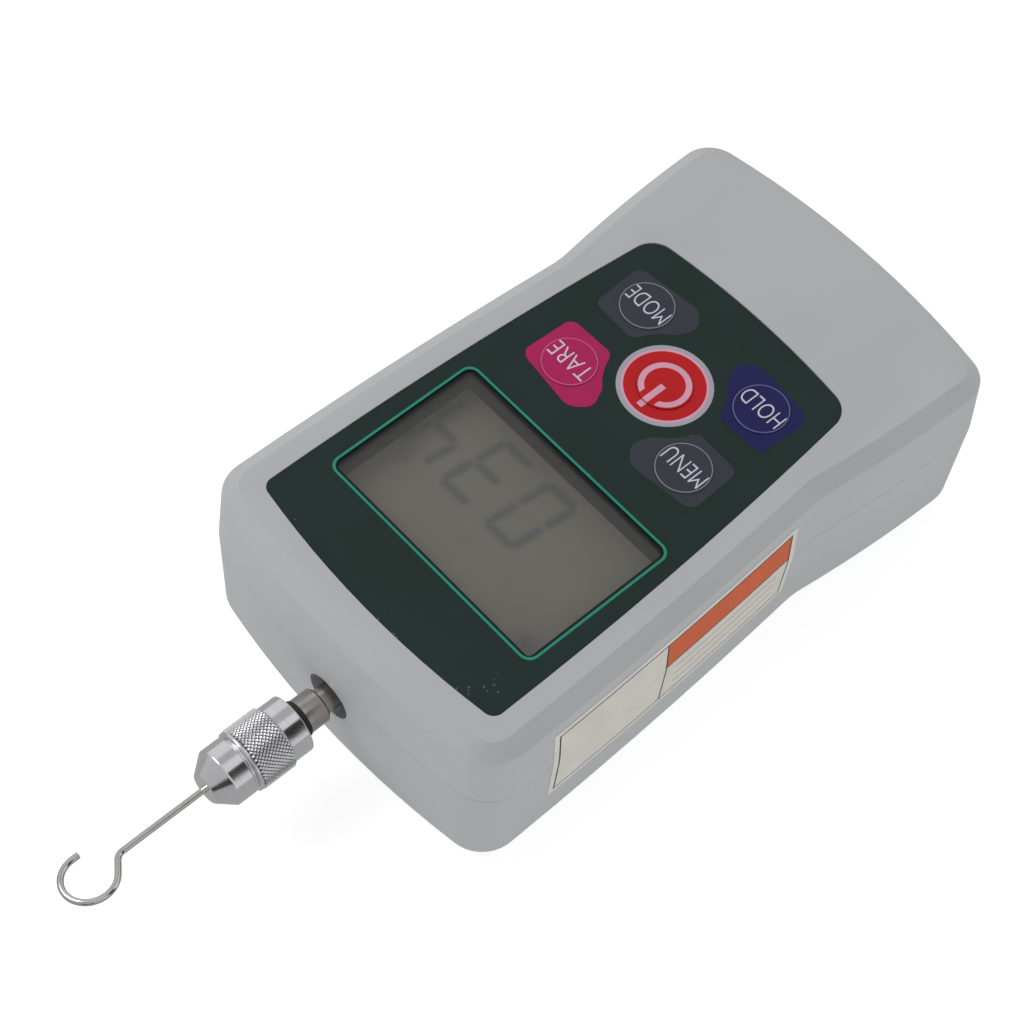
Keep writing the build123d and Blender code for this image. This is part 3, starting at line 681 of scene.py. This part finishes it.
def easedProfile(points, radius=0.16):
    # each middle corner is broken by a small curve, with a point on each side that holds its shading
    line = [points[0]]
    for before, here, after in zip(points, points[1:], points[2:]):
        p, q, r = Vector(before), Vector(here), Vector(after)
        reach = min(radius, (p - q).length * 0.36, (r - q).length * 0.36)
        back, onward = (p - q).normalized() * reach, (r - q).normalized() * reach
        middle = q + (back + onward) / 4
        line += [tuple(v) for v in (q + back * 1.25, q + back, middle, q + onward, q + onward * 1.25)]
    return line + [points[-1]]


def turnedPiece(name, profile, finish, body, smoothAngle=38):
    # profile runs from the axis, round the outside, and back to the axis
    around, axis = adapter["around"], adapter["axis"]
    points, faces, rings = [], [], []
    for r, y in profile:
        if r == 0:
            rings.append([len(points)])
            points.append((0, y * mm, axis * mm))
            continue
        rings.append(list(range(len(points), len(points) + around)))
        for k in range(around):
            a = 2 * math.pi * k / around
            points.append((r * mm * math.sin(a), y * mm, (axis + r * math.cos(a)) * mm))
    for low, high in zip(rings, rings[1:]):
        for k in range(around):
            n = (k + 1) % around
            if len(low) == 1:
                faces.append((low[0], high[n], high[k]))
            elif len(high) == 1:
                faces.append((low[k], low[n], high[0]))
            else:
                faces.append((low[k], low[n], high[n], high[k]))
    return makePiece(name, points, faces, [finish], body, smoothAngle)


def buildAdapter():
    d = adapter
    outer = easedProfile(d["collar"] + d["barrel"] + d["groove"] + d["nose"])
    profile = d["bore"] + outer + d["seat"]
    piece = turnedPiece("adapterBody", profile, alloyFinish("turnedAlloy"), "adapter")
    # the cut floor between the diamonds is dull, and painted dark as a painted shade in its crevices
    piece.data.materials.append(grained("knurlFloorShade", d["floorShadeTone"], d["floorRoughness"], metallic=1.0))
    for face in piece.data.polygons:
        x, y, z = face.center / mm
        if d["floorFrom"] < y < d["floorTo"] and math.hypot(x, z - d["axis"]) < d["floorRadius"]:
            face.material_index = 1
    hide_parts("hook_adapter")
    buildKnurl(alloyFinish("knurlAlloyGlint"))


def knurlTree(alloy):
    tree = bpy.data.node_groups.new("knurlTree", "GeometryNodeTree")
    sockets = tree.interface
    sockets.new_socket("Geometry", in_out="INPUT", socket_type="NodeSocketGeometry")
    for name, value in knurl.items():
        kind = "NodeSocketInt" if isinstance(value, int) else "NodeSocketFloat"
        sockets.new_socket(name, in_out="INPUT", socket_type=kind).default_value = value
    sockets.new_socket("Geometry", in_out="OUTPUT", socket_type="NodeSocketGeometry")
    g, result = addNode(tree, "NodeGroupInput").outputs, addNode(tree, "NodeGroupOutput")
    sums = partial(maths, tree)

    def join(**sources):
        node = addNode(tree, "ShaderNodeCombineXYZ")
        for axis, source in sources.items():
            tree.links.new(source, node.inputs[axis])
        return node.outputs[0]

    index = addNode(tree, "GeometryNodeInputIndex").outputs[0]
    # a quarter keeps the row number clear of rounding
    row = sums("FLOOR", sums("DIVIDE", sums("ADD", index, 0.25), g["Around"]))
    column = sums("SUBTRACT", index, sums("MULTIPLY", row, g["Around"]))
    # every other row is shifted by half a diamond
    shift = sums("MULTIPLY", sums("MODULO", row, 2.0), 0.5)
    angle = sums("DIVIDE", sums("MULTIPLY", sums("ADD", column, shift), 2 * math.pi), g["Around"])
    x = sums("MULTIPLY", g["Root Radius"], sums("SINE", angle))
    z = sums("ADD", g["Axis Height"], sums("MULTIPLY", g["Root Radius"], sums("COSINE", angle)))
    y = sums("ADD", g["First Row"], sums("MULTIPLY", row, g["Row Step"]))
    line = addNode(tree, "GeometryNodeMeshLine")
    tree.links.new(sums("MULTIPLY", g["Around"], g["Rows"]), line.inputs["Count"])
    places = addNode(tree, "GeometryNodeSetPosition")
    tree.links.new(line.outputs[0], places.inputs["Geometry"])
    tree.links.new(join(X=x, Y=y, Z=z), places.inputs["Position"])
    point = addNode(tree, "GeometryNodeMeshCone", {"fill_type": "NGON"},
                    **{"Vertices": 4, "Radius Top": 0.12, "Radius Bottom": 1.0, "Depth": 1.0})
    spread = addNode(tree, "GeometryNodeInstanceOnPoints")
    tree.links.new(places.outputs[0], spread.inputs["Points"])
    tree.links.new(point.outputs[0], spread.inputs["Instance"])
    tree.links.new(join(Y=angle), spread.inputs["Rotation"])
    tree.links.new(join(X=g["Half Width"], Y=g["Half Length"], Z=g["Rise"]), spread.inputs["Scale"])
    real = addNode(tree, "GeometryNodeRealizeInstances")
    tree.links.new(spread.outputs[0], real.inputs[0])
    coat = addNode(tree, "GeometryNodeSetMaterial", Material=alloy)
    tree.links.new(real.outputs[0], coat.inputs["Geometry"])
    tree.links.new(coat.outputs[0], result.inputs[0])
    return tree


def buildKnurl(alloy):
    carrier = addToScene(bpy.data.objects.new("knurlCarrier", bpy.data.meshes.new("knurlSeed")))
    maker = carrier.modifiers.new("knurl", "NODES")
    maker.node_group = knurlTree(alloy)
    for item in maker.node_group.interface.items_tree:
        if item.in_out == "INPUT" and item.name in knurl:
            maker[item.identifier] = knurl[item.name]
    piece = finishPiece("adapterKnurl", solidMesh(carrier), [alloy], "adapter")
    print("knurl:", len(piece.data.polygons), "faces")


rodMetal = {
    "colour": (0.43, 0.4, 0.38, 1), "roughness": 0.24, "thread": 70.05, "pitch": 1.0, "threadDepth": 0.25,
}


def rodFinish():
    base = rodMetal["colour"]
    finish, tree, shader = newFinish("turnedDarkSteel", base, rodMetal["roughness"], metallic=1.0)
    rings = noiseOn(tree, objectPlace(tree, (0.02, 1, 0.02)), 4200, detail=3)
    tree.links.new(drifting(tree, rings, base, 0.9, 1.08), shader.inputs["Base Color"])
    # screw thread on the stud, ahead of the collar
    shifted = addNode(tree, "ShaderNodeMapping", Location=(0, 0, -adapter["axis"] * mm))
    tree.links.new(objectPlace(tree), shifted.inputs["Vector"])
    x, y, z = axesOf(tree, shifted.outputs[0])
    travel = maths(tree, "MULTIPLY", y, 2 * math.pi / (rodMetal["pitch"] * mm))
    wave = maths(tree, "SINE", maths(tree, "ADD", travel, maths(tree, "ARCTAN2", x, z)))
    cut = maths(tree, "MULTIPLY", wave, maths(tree, "GREATER_THAN", y, rodMetal["thread"] * mm))
    marks = bumpFrom(tree, shader, rings, strength=0.1, depth=0.01)
    bumpFrom(tree, shader, cut, strength=1.0, depth=rodMetal["threadDepth"], under=marks)
    return finish


wireMetal = {"colour": (0.6, 0.58, 0.56, 1), "roughness": 0.1}
bezelPlastic = {"colour": tone(26, 27, 26), "roughness": 0.7}


def wireFinish():
    return grained("drawnSteelWire", wireMetal["colour"], wireMetal["roughness"], metallic=1.0, spread=0.05,
                   patch=400, grain=5000, relief=0.06, reliefDepth=0.01)


def bezelFinish():
    return grained("bezelBlack", bezelPlastic["colour"], bezelPlastic["roughness"], specular=0.05,
                   spread=0.05, patch=90, relief=0.02)


# colour, roughness and metallic share of the other finishes, by slot
innerParts = {
    "dark_plastic": (tone(30, 31, 32), 0.5, 0.0), "white_plastic": (tone(222, 223, 219), 0.5, 0.0),
    "board_green": (tone(28, 92, 56), 0.38, 0.0), "steel": ((0.6, 0.6, 0.6, 1), 0.3, 1.0),
    # black_ring is coloured near black: partly the ring's own colour, partly a painted shade for the gap
    # between collar and adapter
    "alloy": ((0.76, 0.76, 0.77, 1), 0.32, 1.0), "black_ring": (tone(24, 24, 24), 0.6, 0.0),
    "battery_blue": (tone(38, 72, 132), 0.36, 0.0), "lead_black": (tone(26, 26, 27), 0.5, 0.0),
    "lcd_grey": (tone(118, 117, 110), 0.4, 0.0),
}


def dressNodes():
    case = caseFinish()
    special = {"upper_case": case, "lower_case": case, "front_overlay": panelFinish(),
               "display_window": windowFinish(), "display_bezel": bezelFinish(), "sensor_rod": rodFinish(),
               "wire_hook": wireFinish()}
    made = {}
    for name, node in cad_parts.items():
        for place in node.material_slots:
            slotName = place.material.name.split(".")[0] if place.material else "dark_plastic"
            if name in special:
                place.material = special[name]
            elif slotName in innerParts:
                if slotName not in made:
                    made[slotName] = grained("finish_" + slotName, *innerParts[slotName])
                place.material = made[slotName]
    print("frame dressed")


studio = {
    "worldRear": 0.9, "worldFront": 0.48, "centre": (0, 0.05, 0.02),
    "floorHalf": 3.0, "floor": tone(185, 185, 185), "floorGlow": 0.72, "floorMirror": 0.42,
    "cards": [  # direction from the centre, distance, width, height, radiance
        ((-0.735, -0.391, 0.554), 0.8, 0.34, 0.9, 0.02),
        ((-0.608, 0.770, 0.194), 0.8, 0.5, 0.26, 0.02),
        ((0.355, -0.391, 0.849), 0.9, 0.55, 0.55, 0.45),
    ],
    "lights": [  # place, target, size, watts
        ((0.6, 0.4, 0.75), (0, 0.04, 0.02), 0.5, 3.6),
    ],
}
square = ((-1, -1), (1, -1), (1, 1), (-1, 1))


def glowing(name, strength, colour=(0, 0, 0, 1), roughness=1.0, specular=0.0):
    finish, _, shader = newFinish(name, colour, roughness, specular=specular)
    shader.inputs["Emission Color"].default_value = (1, 1, 1, 1)
    shader.inputs["Emission Strength"].default_value = strength
    return finish


def sheet(name, corners, finish):
    return makePiece(name, corners, [(0, 1, 2, 3)], [finish], None)


def onlyReflect(card):
    # a card only shows in reflections
    card.visible_camera = card.visible_diffuse = card.visible_shadow = card.visible_transmission = False


def aim(place, target):
    return (Vector(target) - Vector(place)).to_track_quat("-Z", "Y").to_matrix().to_4x4()


def buildWorld():
    world = bpy.data.worlds.new("studioWorld")
    world.use_nodes = True
    tree, sky = world.node_tree, world.node_tree.nodes["Background"]
    sky.inputs["Color"].default_value = (1, 1, 1, 1)
    # the room is darker beyond the hook end, and white where it is seen directly
    way = addNode(tree, "ShaderNodeTexCoord").outputs["Generated"]
    reach = {"From Min": -1.0, "From Max": 1.0, "To Min": studio["worldRear"], "To Max": studio["worldFront"]}
    fade = addNode(tree, "ShaderNodeMapRange", **reach)
    tree.links.new(axesOf(tree, way)[1], fade.inputs["Value"])
    seen = addNode(tree, "ShaderNodeLightPath").outputs["Is Camera Ray"]
    tree.links.new(maths(tree, "MAXIMUM", fade.outputs[0], seen), sky.inputs["Strength"])
    bpy.context.scene.world = world


def buildStudio():
    buildWorld()
    corners = [(sx * studio["floorHalf"], sy * studio["floorHalf"], 0) for sx, sy in square]
    finish = glowing("floorWhite", studio["floorGlow"], studio["floor"], roughness=0.9, specular=0.1)
    floor = sheet("studioFloor", corners, finish)
    # what shiny parts see underneath is a greyer floor
    floor.visible_glossy = False
    mirror = sheet("studioFloorMirror", corners, glowing("mirrorTone", studio["floorMirror"]))
    onlyReflect(mirror)
    centre = Vector(studio["centre"])
    for k, (way, far, wide, tall, glow) in enumerate(studio["cards"]):
        place = Vector(way).normalized() * far + centre
        turn = aim(place, centre)
        corners = [turn @ Vector((sx * wide / 2, sy * tall / 2, 0)) + place for sx, sy in square]
        card = sheet(f"studioCard{k}", corners, glowing(f"cardTone{k}", glow))
        onlyReflect(card)
    for k, (place, target, size, watts) in enumerate(studio["lights"]):
        data = bpy.data.lights.new(f"softbox{k}", "AREA")
        data.size, data.energy = size, watts
        lamp = addToScene(bpy.data.objects.new(f"softbox{k}", data))
        lamp.matrix_world = Matrix.Translation(place) @ aim(place, target)
    bpy.context.scene.view_settings.view_transform = "Standard"
    print("studio set")


cameraSet = {
    "place": (-0.15968026, 0.19863704, 0.41593386), "lens": 91.5278, "sensor": 36.0, "near": 0.01, "far": 20,
    "right": (-0.670806, -0.739149, 0.060648), "down": (-0.651381, 0.548103, -0.524677),
    "ahead": (0.354573, -0.391461, -0.849138),
}


def buildCamera():
    data = bpy.data.cameras.new("viewCamera")
    data.sensor_width, data.lens = cameraSet["sensor"], cameraSet["lens"]
    data.clip_start, data.clip_end = cameraSet["near"], cameraSet["far"]
    camera = addToScene(bpy.data.objects.new("viewCamera", data))
    right, down, ahead = (Vector(cameraSet[k]) for k in ("right", "down", "ahead"))
    turn = Matrix((right, -down, -ahead)).transposed().to_4x4()
    camera.matrix_world = Matrix.Translation(cameraSet["place"]) @ turn
    bpy.context.scene.camera = camera


inks = keyInks()
dressNodes()
buildKeys(inks)
buildPower(inks)
buildLcd()
buildFrameLine()
buildSticker()
buildAdapter()
buildStudio()
buildCamera()

bpy.context.view_layer.update()
